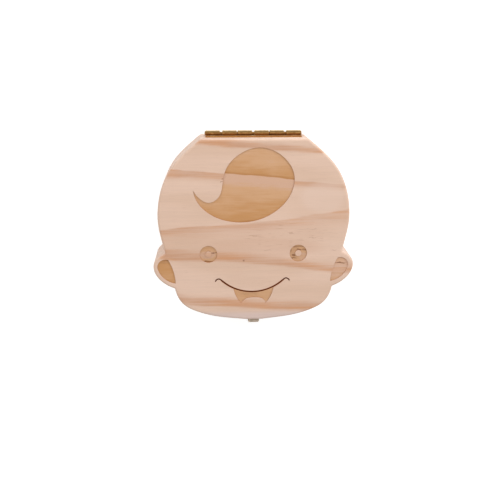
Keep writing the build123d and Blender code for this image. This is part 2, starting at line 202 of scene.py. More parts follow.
def direct_rays(tree):
    """1 for rays from the camera, a reflection or clear glass, 0 for those that gather light."""
    rays = tree.nodes.new("ShaderNodeLightPath").outputs
    shown = rays["Is Camera Ray"]
    for kind in ("Is Glossy Ray", "Is Transmission Ray"):
        either = tree.nodes.new("ShaderNodeMath")
        either.operation = "MAXIMUM"
        tree.links.new(shown, either.inputs[0])
        tree.links.new(rays[kind], either.inputs[1])
        shown = either.outputs[0]
    return shown


print("to be dressed:", ", ".join(nodes))

# %% [markdown]
# ## Floor and light
# The box stands on a plain white table under soft studio light. One lamp above and two big ones behind
# give shape, a weak one in front reaches the wall under the chin, and the world fills the shadows. To keep
# the table white without over-lighting the wood, the floor glows a little for the rays that come from the
# camera or from a reflection, while the rays that light the box see plain pale paint.

# %% Floor
floor_side = 6.0
floor_drop = 0.05 * mm
floor_glow = 0.64
table_grey = paint(205, 205, 205)

bpy.ops.mesh.primitive_plane_add(size=floor_side, location=(0, 0, solid_box[0].z - floor_drop))
floor = bpy.context.object
floor.name = "floor"
table_top = Finish("white table")
sockets = table_top.shader.inputs
sockets["Base Color"].default_value = table_grey
sockets["Roughness"].default_value = 0.9
sockets["Specular IOR Level"].default_value = 0.1
sockets["Emission Color"].default_value = (1.0, 1.0, 1.0, 1.0)
glow = table_top.calc("MULTIPLY", direct_rays(table_top.tree), floor_glow)
table_top.tree.links.new(glow, sockets["Emission Strength"])
floor.data.materials.append(table_top.material)
floor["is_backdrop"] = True
print("floor", floor_side, "m wide")

# %% World
world_strength = 0.50
white_strength = 1.0
world_colour = (1.0, 0.985, 0.97, 1.0)

world = bpy.data.worlds.new("studio")
bpy.context.scene.world = world
world.use_nodes = True
sky = world.node_tree
background = sky.nodes["Background"].inputs
background["Color"].default_value = world_colour
strength = sky.nodes.new("ShaderNodeMapRange")
strength.inputs["To Min"].default_value = world_strength
strength.inputs["To Max"].default_value = white_strength
sky.links.new(direct_rays(sky), strength.inputs["Value"])
sky.links.new(strength.outputs[0], background["Strength"])
bpy.context.scene.view_settings.view_transform = "Standard"
print("the world lights the box at", world_strength)

# %% Lamps
lamps = {
    "key": {"place": (-0.35, 0.30, 0.90), "size": 0.5, "watts": 1.2},
    "back left": {"place": (-0.66, 0.70, 0.42), "size": 0.5, "watts": 3.3},
    "back right": {"place": (0.74, 0.66, 0.42), "size": 0.5, "watts": 7.0},
    "front": {"place": (0.10, -0.85, 0.40), "size": 0.6, "watts": 1.2},
}

for name, lamp in lamps.items():
    place = Vector(lamp["place"])
    bpy.ops.object.light_add(type="AREA", location=place)
    light = bpy.context.object
    light.name = name
    light.rotation_mode = "QUATERNION"
    light.rotation_quaternion = place.to_track_quat("Z", "Y")
    light.data.size = lamp["size"]
    light.data.energy = lamp["watts"]
print(len(lamps), "lamps:", ", ".join(lamps))

# %% [markdown]
# ## Growth rings
# Pine cut along the trunk shows each year as a band. Its dark latewood has a sharp edge on the side where
# growth stopped for the winter, and fades out on the other side. Wood textures often use evenly spaced
# waves, but the bands of a real board are few, uneven and each its own shape. So each ring here is a line
# over the board, given by five heights from the left ear to the right one, with a darkness and a width at
# either end. The same ring also says how its wood takes the laser: soft wood beside the sharp edge burns
# deep, and the latewood is spared.

# %% What a ring is


@dataclass
class Ring:
    """A growth ring. Lengths are in mm, and a pair holds the values at the left and right ear.

    Its sharp edge runs through the heights and is at the top or bottom of the band, edge wide. Dark and
    width are those of its latewood, and the tail is a fainter tone that reaches further. Burn is how
    strongly the soft wood outside the sharp edge takes the laser, as far as burn_reach, and spare is how
    much the latewood resists it.
    """
    heights: tuple
    sharp: str
    edge: float
    dark: tuple
    width: tuple
    tail: tuple = (0.0, 0.0)
    tail_width: float = 24.0
    burn: tuple = (0.0, 0.0)
    burn_reach: float = 20.0
    spare: tuple = (0.0, 0.0)


lid_rings = [
    Ring((56.2, 53.8, 51.4, 49.2, 47.0), "bottom", 2.6, (0.84, 0.62), (8.5, 4.5), spare=(0.15, 0.15)),
    Ring((39.7, 37.9, 35.0, 31.7, 29.8), "top", 1.1, (0.62, 0.48), (8.0, 4.5), tail=(0.06, 0.04),
         burn=(1.0, 0.9), burn_reach=19, spare=(0.45, 0.45)),
    Ring((2.0, 5.1, 7.0, 10.2, 14.8), "top", 1.3, (0.25, 0.22), (6.5, 9.5), tail=(0.34, 0.22),
         tail_width=30, burn=(1.0, 1.0), burn_reach=34),
    Ring((-15.1, -17.6, -19.7, -24.0, -26.8), "bottom", 3.0, (0.64, 0.64), (9.0, 9.5),
         burn=(0.95, 0.25), burn_reach=90, spare=(0.0, 0.15)),
    Ring((-43.9, -47.6, -49.5, -52.1, -53.7), "bottom", 2.4, (0.63, 0.72), (10.5, 9.5),
         spare=(0.1, 0.1)),
]
base_rings = [
    Ring((50.5, 48.4, 47.0, 46.1, 45.2), "bottom", 2.0, (0.50, 0.60), (6.0, 5.0)),
    Ring((33.0, 29.5, 27.4, 26.2, 25.5), "bottom", 1.4, (0.45, 0.60), (8.0, 10.0), tail=(0.15, 0.10)),
    Ring((12.3, 7.6, 4.3, 3.0, 2.9), "bottom", 1.8, (0.65, 0.50), (7.0, 8.0), tail=(0.0, 0.15)),
    Ring((-9.1, -14.0, -17.5, -18.9, -19.0), "bottom", 2.4, (0.55, 0.62), (10.0, 8.0), tail=(0.15, 0.10)),
    Ring((-36.3, -39.7, -41.6, -41.5, -40.0), "bottom", 1.6, (0.70, 0.60), (7.0, 9.0)),
]
print(len(lid_rings), "rings on the lid and", len(base_rings), "on the base")

# %% [markdown]
# A ring's line is one smooth curve through its five heights. Straight pieces between them would show as
# corners, and a curve object can't be read by a material, so the height is worked out as a polynomial of
# the way across the board, one power at a time.

# %% The line of a ring
ring_reach = 60 * mm


def across(wood, pair):
    """Runs from the left value to the right one over the width of the board."""
    wires = {0: wood.x, 1: -ring_reach, 2: ring_reach, 3: pair[0], 4: pair[1]}
    return wood.add("ShaderNodeMapRange", wires).outputs[0]


def ring_line(wood, heights):
    """Height of a ring over the board, on the smooth curve through its five heights."""
    start, left, middle, right, end = [height * mm for height in heights]
    tilt, near_tilt = (end - start) / 2, right - left
    bow, near_bow = (end + start) / 2 - middle, 8 * (right + left) - 16 * middle
    cubed, squared = (tilt - near_tilt) * 4 / 3, (near_bow - bow) / 3
    share = wood.calc("DIVIDE", wood.x, ring_reach)
    height = bow - squared
    for term in (cubed, squared, tilt - cubed, middle):
        height = wood.calc("MULTIPLY_ADD", share, height, term)
    return height


def fade(wood, distance, start, end):
    """1 up to the start distance, then down to 0 at the end."""
    return wood.calc("SUBTRACT", 1.0, wood.smooth(distance, start, end))


print("a ring's line spans", round(2 * ring_reach / mm), "mm")

# %% [markdown]
# From that line come the ring's tones. Each is a function of how far a point is inside the band, past the
# sharp edge, or outside it. Rings lean through the board's thickness, so they run on down its walls, and
# two layers of noise keep them from looking drawn with a ruler. Where rings overlap their darkness adds
# up, and of their other tones the strongest counts.

# %% The tones of a ring
core_share = 0.25
burn_edge = 0.2 * mm
spare_edge = 0.4 * mm
spare_start, spare_end = 2.5 * mm, 11 * mm
line_start, line_end = 0.6 * mm, 1.9 * mm
ring_lean = 0.55
sway_grain, sway_reach = (26 * mm, 9 * mm, 9 * mm), 2.2 * mm
ripple_grain, ripple_reach = (7 * mm, 2.2 * mm, 2.2 * mm), 1.1 * mm
noise_middle = 0.5
joining = ("ADD", "MAXIMUM", "MAXIMUM", "MAXIMUM")


def ring(wood, level, one):
    """A ring's darkness, the heat that the laser leaves in its soft wood, and what its latewood spares."""
    above = wood.calc("SUBTRACT", level, ring_line(wood, one.heights))
    inside = wood.calc("MULTIPLY", above, 1.0 if one.sharp == "bottom" else -1.0)
    outside = wood.calc("MULTIPLY", inside, -1.0)

    rise = wood.smooth(inside, -one.edge / 2 * mm, one.edge / 2 * mm)
    width = wood.calc("MULTIPLY", across(wood, one.width), mm)
    core = fade(wood, inside, wood.calc("MULTIPLY", width, core_share), width)
    core = wood.calc("MULTIPLY", core, across(wood, one.dark))
    tail = wood.calc("MULTIPLY", fade(wood, inside, 0.0, one.tail_width * mm), across(wood, one.tail))
    dark = wood.calc("MULTIPLY", wood.calc("ADD", core, tail), rise)

    soft_side = wood.calc("SUBTRACT", 1.0, wood.smooth(inside, -burn_edge, burn_edge))
    heat = wood.calc("SUBTRACT", 1.0, wood.calc("DIVIDE", outside, one.burn_reach * mm))
    heat = wood.calc("MULTIPLY", wood.calc("MULTIPLY", heat, soft_side), across(wood, one.burn))

    spared = wood.calc("MULTIPLY", fade(wood, inside, spare_start, spare_end),
                       wood.smooth(inside, -spare_edge, spare_edge))
    spared = wood.calc("MULTIPLY", spared, across(wood, one.spare))
    return dark, heat, spared, outside


def edge_line(wood, one, outside):
    """The thin line just outside the sharp edge, where the resin burns darkest."""
    line = wood.calc("MULTIPLY", fade(wood, outside, line_start, line_end),
                     wood.smooth(outside, -burn_edge, burn_edge))
    return wood.calc("MULTIPLY", line, across(wood, one.burn))


def swayed(wood, level, grain, detail, reach, shift):
    """The level, moved up and down by noise."""
    swing = wood.calc("SUBTRACT", wood.noise(grain, detail, shift), noise_middle)
    return wood.calc("MULTIPLY_ADD", swing, reach, level)


def all_rings(wood, rings, top, shift):
    """Darkness, heat, sparing and thin line of all the rings together."""
    level = wood.calc("MULTIPLY_ADD", wood.calc("SUBTRACT", wood.z, top), ring_lean, wood.y)
    level = swayed(wood, level, sway_grain, 1.0, sway_reach, shift)
    level = swayed(wood, level, ripple_grain, 2.0, ripple_reach, shift)
    totals = None
    for one in rings:
        dark, heat, spared, outside = ring(wood, level, one)
        tones = [dark, heat, spared, edge_line(wood, one, outside)]
        if totals is None:
            totals = tones
        else:
            totals = [wood.calc(*step) for step in zip(joining, totals, tones)]
    return totals


print("rings lean", ring_lean, "mm along the board for each mm of its thickness")

# %% [markdown]
# ## Bare pine
# Between the rings the sanded earlywood is a pale pinkish cream. Over it lie long fibres, a slow drift of
# colour across the plank, and the short dark flecks of resin canals, thickest to the right of the nose.
# All of them are noise stretched far along X, the way that the trunk grew. The sawn walls are paler and
# more streaked than the planed faces, and at the ears, where the board is cut across, fine yearly lines
# and pores show. An image of wood would need a seam somewhere on the round wall. Solid noise has none.

# %% Colours and grain of the pine
pale_pine = paint(224, 193, 173)
ruddy_pine = paint(217, 185, 163)
late_pine = paint(197, 149, 118)
amber_pine = paint(202, 148, 110)
grey_pine = paint(213, 189, 179)
wall_pine = paint(231, 208, 193)
canal_brown = paint(150, 100, 74)

drift_grain = (60 * mm, 16 * mm, 16 * mm)
streak_grain = (30 * mm, 1.1 * mm, 1.1 * mm)
fibre_grain = (7 * mm, 0.16 * mm, 0.16 * mm)
canal_grain = (6.5 * mm, 0.30 * mm, 0.30 * mm)
resin_grain, resin_shift = (34 * mm, 7 * mm, 7 * mm), 4.0
pore_grain = (0.9 * mm, 0.35 * mm, 0.35 * mm)
print("fibres are", round(fibre_grain[0] / fibre_grain[1]), "times as long as they are wide")

# %% [markdown]
# Some tones belong to one place on the board, such as the flecks beside the nose. Painting them on an
# image would work for one board only. An ellipse that fades at its rim says where a tone is in five
# numbers, and several can overlap.

# %% Places on the board
rim_inside, rim_outside = 0.5, 1.6
fleck_zone = ((24, -2), (30, 8))
fleck_least, fleck_more = 0.10, 0.26
canal_start, canal_end = 0.68, 0.80


def squared_sum(wood, first, second):
    """The squares of two values added up."""
    return wood.calc("ADD", wood.calc("MULTIPLY", first, first), wood.calc("MULTIPLY", second, second))


def ellipse(wood, middle, half):
    """1 inside an ellipse over the board, fading to 0 a little outside it. Its sizes are in mm."""
    shares = [wood.calc("DIVIDE", wood.calc("SUBTRACT", along, centre * mm), length * mm)
              for along, centre, length in zip((wood.x, wood.y), middle, half)]
    return wood.smooth(squared_sum(wood, *shares), rim_inside, rim_outside, 1.0, 0.0)


def resin_flecks(wood, shift):
    """Short dark resin canals, a few everywhere and more in their zone."""
    canals = wood.noise(canal_grain, 0.0, shift)
    amount = wood.calc("MULTIPLY_ADD", ellipse(wood, *fleck_zone), fleck_more, fleck_least)
    return wood.calc("MULTIPLY", wood.smooth(canals, canal_start, canal_end), amount)


print("flecks gather around", fleck_zone[0], "mm")

# %% The sawn walls and the ends
wall_start, wall_end = 0.45, 0.95
end_grain_start, end_grain_end = 0.5, 0.9
pore_start, pore_end, pore_share = 0.54, 0.70, 0.06
year_sway, year_step = 7 * mm, 0.5 * mm
year_start, year_share = -0.4, 0.15
planed_tones, sawn_tones = (0.975, 1.02), (0.93, 1.04)


def wall_share_of(wood):
    """1 on an upright wall, 0 on a level face."""
    return wood.smooth(wood.calc("ABSOLUTE", wood.facing_z), wall_start, wall_end, 1.0, 0.0)


def end_grain(wood, wall, drift, shift):
    """The yearly lines and the pores that show where the board is cut across."""
    ends = wood.smooth(wood.calc("ABSOLUTE", wood.facing_x), end_grain_start, end_grain_end)
    ends = wood.calc("MULTIPLY", wall, ends)
    pores = wood.smooth(wood.noise(pore_grain, 2.0, shift), pore_start, pore_end, 0.0, pore_share)
    level = wood.calc("MULTIPLY_ADD", drift, year_sway, wood.y)
    level = wood.calc("MULTIPLY_ADD", wood.z, ring_lean, level)
    years = wood.calc("SINE", wood.calc("DIVIDE", level, year_step))
    years = wood.smooth(years, year_start, 1.0, 0.0, year_share)
    return wood.calc("MULTIPLY", ends, years), wood.calc("MULTIPLY", ends, pores)


def fibre_tone(wood, streaks, fibres, wall):
    """How far streaks and fibres darken or lighten the wood, more so on the walls."""
    planed = wood.smooth(streaks, *soft_swing, *planed_tones)
    sawn = wood.smooth(streaks, *firm_swing, *sawn_tones)
    fine = wood.smooth(fibres, *soft_swing, *planed_tones)
    return wood.calc("MULTIPLY", wood.mix_values(wall, planed, sawn), fine)


print("yearly lines are", round(2 * pi * year_step / mm, 1), "mm apart")

# %% [markdown]
# The board's colour is then laid on in layers, as glazes would be: first the two creams of the earlywood
# and a greyer chin, then the latewood, which runs from pinkish to amber, the paler walls, and last the
# streaks, the end grain and the flecks. The base needs nothing more, so it is dressed right away.

# %% The layers of bare pine
drift_start, drift_end = 0.35, 0.7
chin_start, chin_end = -50 * mm, -54 * mm
streak_start, streak_end = 0.25, 0.75
least_dark, most_dark = 0.68, 1.32
resin_start, resin_end = 0.42, 0.62
wall_share = 0.58


def bare_pine(wood, rings, top, shift):
    """Colour of the bare board, and the rings' darkness, heat, sparing, thin line and fibres."""
    dark, heat, spared, line = all_rings(wood, rings, top, shift)
    drift = wood.noise(drift_grain, 1.0, shift)
    streaks = wood.noise(streak_grain, 3.0, shift)
    fibres = wood.noise(fibre_grain, 2.0, shift)
    wall = wall_share_of(wood)

    colour = wood.mix(wood.smooth(drift, drift_start, drift_end), pale_pine, ruddy_pine)
    chin = wood.calc("MULTIPLY", wood.smooth(wood.y, chin_start, chin_end),
                     wood.calc("SUBTRACT", 1.0, wall))
    colour = wood.mix(chin, colour, grey_pine)

    streaky = wood.smooth(streaks, streak_start, streak_end, least_dark, most_dark)
    dark = wood.calc("MULTIPLY", dark, streaky)
    resin = wood.noise(resin_grain, 1.0, (shift[0] + resin_shift, *shift[1:]))
    late = wood.mix(wood.smooth(resin, resin_start, resin_end), late_pine, amber_pine)
    colour = wood.mix(wood.smooth(dark, 0.0, 1.0), colour, late)

    colour = wood.mix(wood.calc("MULTIPLY", wall, wall_share), colour, wall_pine)
    colour = wood.mix(1.0, colour, fibre_tone(wood, streaks, fibres, wall), "MULTIPLY")
    years, pores = end_grain(wood, wall, drift, shift)
    colour = wood.mix(years, colour, late_pine)
    colour = wood.mix(pores, colour, canal_brown)
    colour = wood.mix(resin_flecks(wood, shift), colour, canal_brown)
    return colour, dark, heat, spared, line, fibres


print("latewood varies from", least_dark, "to", most_dark, "of its darkness along its streaks")

# %% Dress the base
base_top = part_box("base_board")[1].z
base_shift = (3.1, 7.7, 1.3)
early_roughness, late_roughness = 0.62, 0.48
pine_specular = 0.3
fibre_height = 0.03 * mm

base_pine = Finish("base pine")
colour, dark, *_, fibres = bare_pine(base_pine, base_rings, base_top, base_shift)
roughness = base_pine.smooth(dark, 0.0, 1.0, early_roughness, late_roughness)
base_pine.finish(colour, roughness, fibres, fibre_height, Specular_IOR_Level=pine_specular)
dress(base_pine.material, "base_board")
print("base dressed with", len(base_pine.tree.nodes), "nodes")

# %% [markdown]
# ## The engraved lid
# A laser burns away a thin skin of the lid. The floors of the engraving could be picked out face by face,
# but a material can find them: by their depth and by facing straight up. The walls are upright and near
# the top, and the smile's groove is deeper than the rest. The depths carry a little slack, so that
# rounding can't leave a wall or a floor out.

# %% Where the laser went
lid_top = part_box("lid_board")[1].z
lid_shift = (0.0, 0.0, 0.0)
engraving_depth = 0.4 * mm
smile_depth = 0.9 * mm
depth_slack = 1.02
upright_most, level_least = 0.3, 0.95

lid_pine = Finish("engraved pine")
bare, dark, heat, spared, line, fibres = bare_pine(lid_pine, lid_rings, lid_top, lid_shift)
depth = lid_pine.calc("SUBTRACT", lid_top, lid_pine.z)
near_top = lid_pine.calc("LESS_THAN", depth, smile_depth * depth_slack)
upright = lid_pine.calc("LESS_THAN", lid_pine.calc("ABSOLUTE", lid_pine.facing_z), upright_most)
level_face = lid_pine.calc("GREATER_THAN", lid_pine.facing_z, level_least)
sunk = lid_pine.calc("GREATER_THAN", depth, engraving_depth / 2)
shallow = lid_pine.calc("LESS_THAN", depth, smile_depth + engraving_depth / 2)
floor_mask = lid_pine.calc("MULTIPLY", lid_pine.calc("MULTIPLY", level_face, sunk), shallow)
wall_mask = lid_pine.calc("MULTIPLY", upright, near_top)
burnt = lid_pine.calc("MAXIMUM", floor_mask, wall_mask)
deep = lid_pine.calc("GREATER_THAN", depth, engraving_depth * depth_slack)
groove_mask = lid_pine.calc("MULTIPLY", burnt, deep)
print("engraved", round(engraving_depth / mm, 1), "mm deep, the smile", round(smile_depth / mm, 1), "mm")

# %% [markdown]
# The soft earlywood scorches to a golden brown, deepest just before the sharp edge of a ring, where the
# wood is densest in resin, while the hard latewood hardly takes colour: where a ring crosses the curl of
# hair it stays pale. In a few cool places the beam was weaker, and broad clouds and the fine rows of the
# beam's passes keep the tone uneven. The corner where floor and wall meet holds a thin dark line, char and
# painted shade together, which ambient occlusion finds without any extra mesh. It is patchy, and faint at
# the top of the curl.

# %% Scorched floors
spared_pine = paint(211, 171, 145)
light_scorch = paint(209, 164, 125)
deep_scorch = paint(196, 144, 94)
edge_scorch = paint(174, 121, 76)
char = paint(112, 66, 38)

least_heat = 0.45
cool_places = [
    ((52, -20), (9, 11), 0.32),
    ((-29, -13.6), (5, 2.4), 0.30),
    ((30.5, -15.5), (2.6, 2.6), 0.25),
]
uneven_heat = [
    {"grain": (14 * mm, 5 * mm, 5 * mm), "shift": (5.0, 2.0, 0.0), "swing": 0.15},
    {"grain": (16 * mm, 0.9 * mm, 0.9 * mm), "shift": (9.0, 4.0, 0.0), "swing": 0.12},
]
light_end, deep_start = 0.4, 0.35
edge_share = 0.55

heat = lid_pine.calc("SUBTRACT", lid_pine.calc("MAXIMUM", heat, least_heat), spared)
for middle, half, share in cool_places:
    heat = lid_pine.calc("MULTIPLY_ADD", ellipse(lid_pine, middle, half), -share, heat)
for layer in uneven_heat:
    pattern = lid_pine.noise(layer["grain"], 2.0, layer["shift"])
    pattern = lid_pine.smooth(pattern, *soft_swing, -layer["swing"], layer["swing"])
    heat = lid_pine.calc("ADD", heat, pattern)
scorch = lid_pine.mix(lid_pine.smooth(heat, 0.0, light_end), spared_pine, light_scorch)
scorch = lid_pine.mix(lid_pine.smooth(heat, deep_start, 1.0), scorch, deep_scorch)
engraved = lid_pine.mix(lid_pine.calc("MULTIPLY", line, edge_share), scorch, edge_scorch)
print(len(cool_places), "cool places on the floors")

# %% Char and painted shade in the corners
corner_reach = 0.6 * mm
corner_start, corner_end, corner_share = 0.10, 0.45, 0.16
faint_outline = ((4, 50), (22, 8))
patch_grain = (5 * mm, 5 * mm, 5 * mm)
patch_swing, patch_least = (0.35, 0.65), 0.2

# Char and painted shade together: ambient occlusion darkens the corner where floor meets wall.
corner = lid_pine.smooth(lid_pine.crevice(corner_reach), corner_start, corner_end, 0.0, corner_share)
faint = ellipse(lid_pine, *faint_outline)
corner = lid_pine.calc("MULTIPLY", corner, lid_pine.calc("SUBTRACT", 1.0, faint))
patchy = lid_pine.smooth(lid_pine.noise(patch_grain, 1.0), *patch_swing, patch_least, 1.0)
engraved = lid_pine.mix(lid_pine.calc("MULTIPLY", corner, patchy), engraved, char)
print("char reaches", round(corner_reach / mm, 1), "mm out of the corners")

# %% [markdown]
# A few fibres in the eyes, ears and mouth caught the beam badly and left short dark dashes. A real dash
# is never a clean oval, so each mark is an ellipse whose outline wavers. It has a place, half sizes and
# a strength, and some are tilted a little. On the bare wood the same marks draw single resin canals.

# %% Charred fibres and single canals
eye_marks = [
    {"place": (-28.3, -13.2), "half": (7.0, 7.0), "strength": 0.09},
    {"place": (27.5, -13.2), "half": (7.0, 7.0), "strength": 0.07},
    {"place": (-24.8, -12.4), "half": (1.9, 0.42), "strength": 0.95, "tilt": 4.0},
    {"place": (-28.9, -17.7), "half": (2.7, 0.42), "strength": 0.75},
    {"place": (24.6, -12.6), "half": (2.6, 3.6), "strength": 0.10},
    {"place": (27.3, -9.1), "half": (4.0, 0.50), "strength": 0.50, "tilt": -2.0},
    {"place": (27.9, -10.9), "half": (1.5, 0.60), "strength": 0.60},
    {"place": (30.3, -11.1), "half": (1.8, 0.50), "strength": 0.45, "tilt": -2.0},
    {"place": (31.9, -11.2), "half": (0.6, 0.60), "strength": 0.45},
    {"place": (22.9, -11.5), "half": (0.6, 0.90), "strength": 0.35},
    {"place": (24.6, -14.6), "half": (1.2, 0.65), "strength": 0.65},
    {"place": (25.0, -16.4), "half": (2.0, 0.50), "strength": 0.60},
]
ear_marks = [
    {"place": (-54.5, -17.0), "half": (2.6, 0.35), "strength": 0.40},
    {"place": (-55.1, -18.2), "half": (3.8, 0.90), "strength": 0.18},
    {"place": (55.0, -16.2), "half": (4.0, 1.0), "strength": 0.10},
    {"place": (54.0, -20.1), "half": (3.8, 0.42), "strength": 0.75},
]
mouth_marks = [
    {"place": (-3.0, -39.7), "half": (6.0, 0.70), "strength": 0.15},
    {"place": (0.0, -41.0), "half": (13.0, 4.5), "strength": 0.05},
]
canals_seen = [
    {"place": (-0.7, -1.8), "half": (3.6, 0.28), "strength": 0.28},
    {"place": (23.0, -0.2), "half": (2.6, 0.28), "strength": 0.28},
    {"place": (35.9, -3.3), "half": (3.6, 0.28), "strength": 0.24, "tilt": 3.0},
    {"place": (35.4, 2.2), "half": (3.6, 0.24), "strength": 0.20},
    {"place": (8.3, -10.9), "half": (2.6, 0.28), "strength": 0.30},
    {"place": (49.3, -11.5), "half": (2.6, 0.28), "strength": 0.28},
    {"place": (-18.6, 33.8), "half": (1.3, 0.30), "strength": 0.90},
    {"place": (-19.6, 32.0), "half": (0.9, 0.28), "strength": 0.80},
]
knot = {"place": (-6.6, -17.5), "half": (0.6, 0.7), "strength": 0.55}
pupils = [
    {"place": (-28.3, -13.2), "half": (2.6, 2.6), "strength": 0.30},
    {"place": (27.4, -13.7), "half": (2.6, 2.6), "strength": 0.30},
]
print(len(eye_marks + ear_marks + mouth_marks), "charred marks and", len(canals_seen), "canals")

# %% Draw a mark
waver_grain, waver_shift = (2.6 * mm, 1.1 * mm, 1.1 * mm), (2.0, 8.0, 0.0)
waver_reach = 0.35 * mm
mark_inside, mark_outside = 0.3, 1.5

waver = lid_pine.noise(waver_grain, 2.0, waver_shift)
waver = lid_pine.smooth(waver, *firm_swing, -waver_reach, waver_reach)


def mark(wood, place, half, strength, tilt=0.0):
    """An ellipse with a wavering outline, as strong as given inside it and 0 outside."""
    turn = radians(tilt)
    along = wood.calc("SUBTRACT", wood.x, place[0] * mm)
    over = wood.calc("SUBTRACT", wood.calc("ADD", wood.y, waver), place[1] * mm)
    long_way = wood.calc("MULTIPLY_ADD", along, cos(turn), wood.calc("MULTIPLY", over, sin(turn)))
    short_way = wood.calc("MULTIPLY_ADD", over, cos(turn), wood.calc("MULTIPLY", along, -sin(turn)))
    long_share = wood.calc("DIVIDE", long_way, half[0] * mm)
    short_share = wood.calc("DIVIDE", short_way, half[1] * mm)
    square = squared_sum(wood, long_share, short_share)
    return wood.smooth(square, mark_inside, mark_outside, strength, 0.0)


for one in eye_marks + ear_marks + mouth_marks:
    engraved = lid_pine.mix(mark(lid_pine, **one), engraved, char)
print("floors charred")

# %% [markdown]
# The smile is one deep line, an arc of a circle, cut so hot that the wood beside it browned too. Seen from
# afar that brown lip is what makes the line look warm. The distance from the arc's circle gives it.

# %% The lip of the smile
smile_centre = (-1.05 * mm, -10.31 * mm)
smile_radius = 27.89 * mm
smile_end = -30.3 * mm
lip_start, lip_end = 0.42 * mm, 0.80 * mm


def smile_lip(wood):
    """1 beside the smile's groove, fading to 0 a little way off."""
    off_x = wood.calc("SUBTRACT", wood.x, smile_centre[0])
    off_y = wood.calc("SUBTRACT", wood.y, smile_centre[1])
    radius = wood.calc("SQRT", squared_sum(wood, off_x, off_y))
    distance = wood.calc("ABSOLUTE", wood.calc("SUBTRACT", radius, smile_radius))
    below = wood.calc("LESS_THAN", wood.y, smile_end)
    return wood.calc("MULTIPLY", fade(wood, distance, lip_start, lip_end), below)


print("the smile is an arc of", round(smile_radius / mm, 1), "mm radius")

# %% [markdown]
# Now the lid's layers go on: a darker and a paler place on the bare wood, the small knot, the canals and
# the unburnt pupils, then the floors, the walls, the lip and the groove. Marks on the bare wood are kept
# to the top of the board, or they would show again on its underside. Where the latewood held out against
# the beam, in one ear and under the mouth, the floor stays nearly bare.

# %% Bare places and marks
pale_patch = paint(229, 203, 188)
dusk_place, dusk_share = ((5, -9.5), (36, 6.0)), 0.20
dawn_place, dawn_share = ((42, 22), (13, 9)), 0.35

dusk = lid_pine.calc("MULTIPLY", ellipse(lid_pine, *dusk_place), dusk_share)
colour = lid_pine.mix(dusk, bare, late_pine)
dawn = lid_pine.calc("MULTIPLY", ellipse(lid_pine, *dawn_place), dawn_share)
colour = lid_pine.mix(dawn, colour, pale_patch)
on_top = [(knot, char)]
on_top += [(canal, canal_brown) for canal in canals_seen]
on_top += [(pupil, spared_pine) for pupil in pupils]
for one, tone in on_top:
    spot = lid_pine.calc("MULTIPLY", mark(lid_pine, **one), near_top)
    colour = lid_pine.mix(spot, colour, tone)
print(len(on_top), "marks on the bare wood")

# %% Lay on the burnt layers
wall_scorch = paint(172, 118, 78)
groove_char = paint(104, 44, 14)
lip_brown = paint(162, 94, 50)
spared_places = [((53, -23.2), (10, 1.9), 0.90), ((-1, -46.4), (14, 2.2), 0.55)]
burnt_roughness = 0.8
beam_grain, beam_shift = (30 * mm, 0.12 * mm, 0.12 * mm), (1.0, 6.0, 0.0)

bared = 0.0
for middle, half, share in spared_places:
    bared = lid_pine.calc("MULTIPLY_ADD", ellipse(lid_pine, middle, half), share, bared)
burnt_share = lid_pine.calc("SUBTRACT", 1.0, bared)
colour = lid_pine.mix(lid_pine.calc("MULTIPLY", floor_mask, burnt_share), colour, engraved)
colour = lid_pine.mix(lid_pine.calc("MULTIPLY", wall_mask, burnt_share), colour, wall_scorch)
colour = lid_pine.mix(lid_pine.calc("MULTIPLY", smile_lip(lid_pine), near_top), colour, lip_brown)
colour = lid_pine.mix(groove_mask, colour, groove_char)

roughness = lid_pine.smooth(dark, 0.0, 1.0, early_roughness, late_roughness)
roughness = lid_pine.calc("MAXIMUM", roughness, lid_pine.calc("MULTIPLY", burnt, burnt_roughness))
beam_lines = lid_pine.noise(beam_grain, 0.0, beam_shift)
relief = lid_pine.calc("ADD", fibres, lid_pine.calc("MULTIPLY", floor_mask, beam_lines))
lid_pine.finish(colour, roughness, relief, fibre_height, Specular_IOR_Level=pine_specular)
dress(lid_pine.material, "lid_board")
print("lid dressed with", len(lid_pine.tree.nodes), "nodes")

# %% [markdown]
# ## Nickel and screw brass
# Metal gets nearly all of its look from what it reflects, so a plain metal stays simple: a metallic
# shader, a mottled colour that is darker in its corners, and fine scratches that run along the sheet. The
# latch is nickel plate, grey and dull. The screws are painted the brightest brass, a painted highlight for
# the glints on their heads.

# %% Plain metals
scratch_grain, scratch_depth = (5.0 * mm, 0.08 * mm, 0.08 * mm), 0.004 * mm
scratch_roughness = (-0.05, 0.08)
mottle_grain, mottle_swing = (3.0 * mm, 1.6 * mm, 1.6 * mm), (0.35, 0.65)
crevice_brown = paint(58, 34, 16)
crevice_reach = 1.2 * mm
crevice_start, crevice_end = 0.25, 0.85


def metal_surface(made, colour, mottle, roughest, smoothest):
    """Finishes a metal: rougher where it is dull, with fine scratches."""
    scratches = made.noise(scratch_grain, 2.0)
    roughness = made.calc("ADD", made.smooth(mottle, *firm_swing, roughest, smoothest),
                          made.smooth(scratches, *soft_swing, *scratch_roughness))
    return made.finish(colour, roughness, scratches, scratch_depth, Metallic=1.0)


def metal(name, bright, dull, roughest, smoothest, crevice_darkness):
    """A plain metal between a bright and a dull colour, darker in its corners."""
    made = Finish(name)
    mottle = made.noise(mottle_grain, 3.0)
    colour = made.mix(made.smooth(mottle, *mottle_swing), dull, bright)
    # Darker in the corners that ambient occlusion finds.
    crevice_dark = made.smooth(made.crevice(crevice_reach), crevice_start, crevice_end, 0.0, crevice_darkness)
    colour = made.mix(crevice_dark, colour, crevice_brown)
    return metal_surface(made, colour, mottle, roughest, smoothest)
